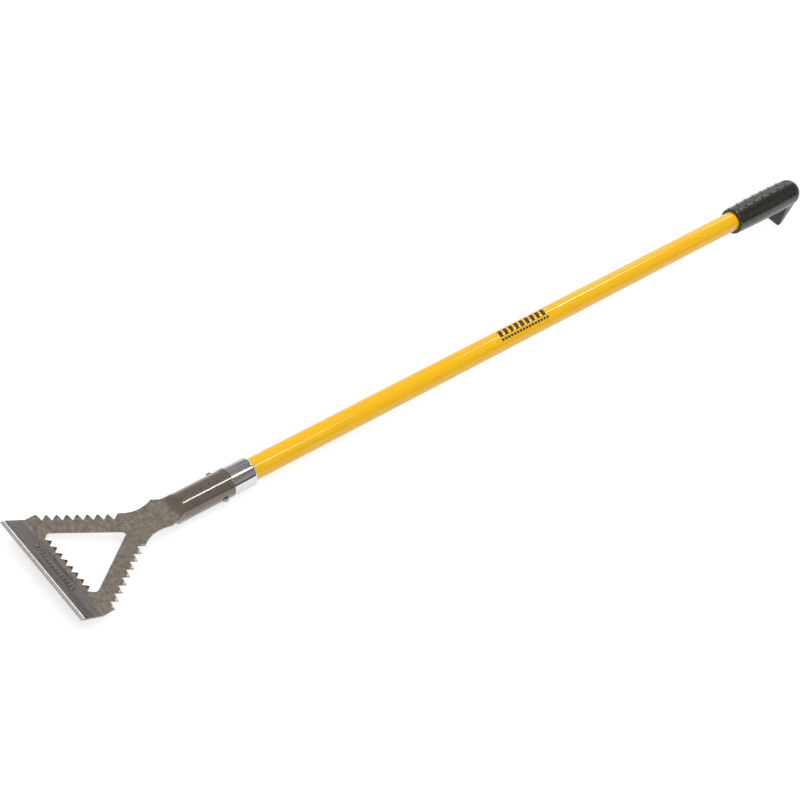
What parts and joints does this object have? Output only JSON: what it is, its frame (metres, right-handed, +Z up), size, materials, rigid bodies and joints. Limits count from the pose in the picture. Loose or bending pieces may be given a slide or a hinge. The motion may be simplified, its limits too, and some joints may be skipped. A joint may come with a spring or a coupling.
{
  "type": "roofing shovel",
  "caption": "Long-handled roofing shovel with a toothed A-frame steel head, an upturned blade and a hooked rubber grip, for lifting shingles and nails.",
  "frame": {"origin": "bottom centre of the whole tool's box, with the tool lying on its hook's tip and its socket's heel", "axes": "+X along the handle from the blade to the grip, +Y across the blade, +Z up; the handle climbs 1.75 degrees towards the grip"},
  "size_m": [1.474, 0.177, 0.0795],
  "materials": {
    "lacquered_steel": "clear brownish lacquer over hot-rolled steel, bare where the teeth and the edge are ground",
    "chrome_plate": "polished plating",
    "yellow_fibreglass": "glossy pultruded fibreglass",
    "plug_wood": "plain turned wood",
    "rivet_steel": "plain upset heads",
    "black_rubber": "satin, with small raised dots"
  },
  "bodies": {
    "root": {"shovel_head": "lacquered_steel", "ferrule": "chrome_plate", "handle_tube": "yellow_fibreglass", "core_plug": "plug_wood", "end_plug": "plug_wood", "head_rivet": "rivet_steel", "hook_grip": "black_rubber"}
  },
  "joints": []
}
